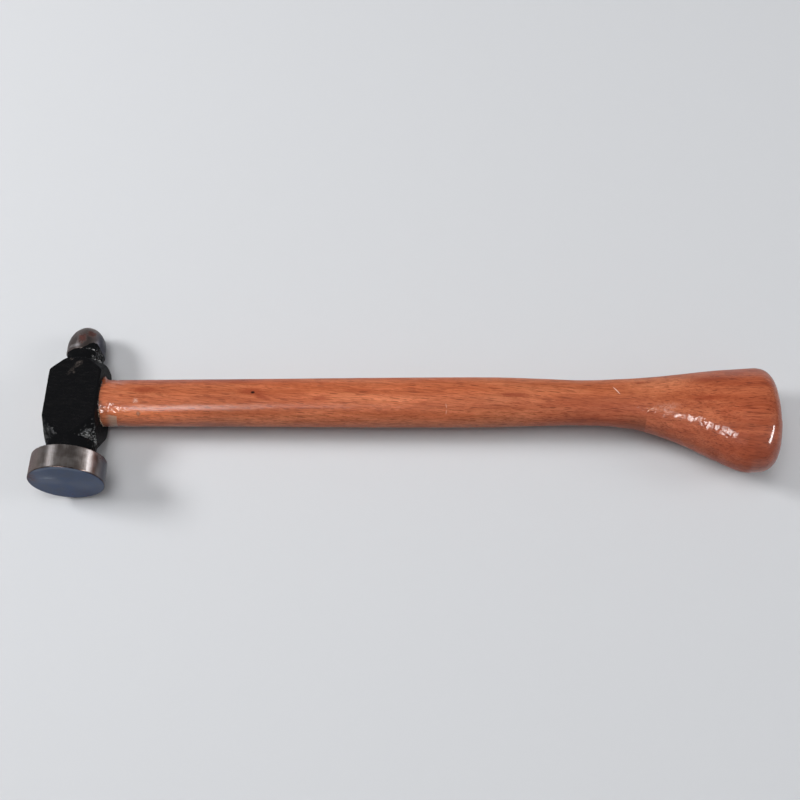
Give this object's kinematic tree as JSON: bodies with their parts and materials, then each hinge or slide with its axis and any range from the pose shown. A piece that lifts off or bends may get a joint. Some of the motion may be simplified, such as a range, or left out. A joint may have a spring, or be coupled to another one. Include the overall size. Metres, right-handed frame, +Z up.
{
  "type": "ball peen hammer",
  "caption": "Light ball peen hammer with a broad flat striking disc, small ball, black square eye block and varnished beech pistol-grip handle, lying on its side.",
  "frame": {"origin": "centre of the resting hammer's bounding box, on the surface it lies on", "axes": "+X along the handle from the head to the grip, +Y along the head from the flat face to the ball, +Z up from the surface; the hammer lies on its side, its cheeks up and down"},
  "size_m": [0.2564, 0.0622, 0.0292],
  "materials": {
    "head_steel": "thick glossy black enamel on the eye block and necks; the face disc and the ball are bare turned steel",
    "handle_wood": "orange-brown varnished beech, glossier clear coat on the grip",
    "wedge_wood": "plain hardwood, end grain showing",
    "wedge_steel": "dull stamped mild steel",
    "glue": "hardened translucent adhesive"
  },
  "bodies": {
    "root": {"hammer_head": "head_steel", "handle": "handle_wood", "wood_wedge": "wedge_wood", "steel_wedge": "wedge_steel", "glue_bead": "glue"}
  },
  "joints": []
}
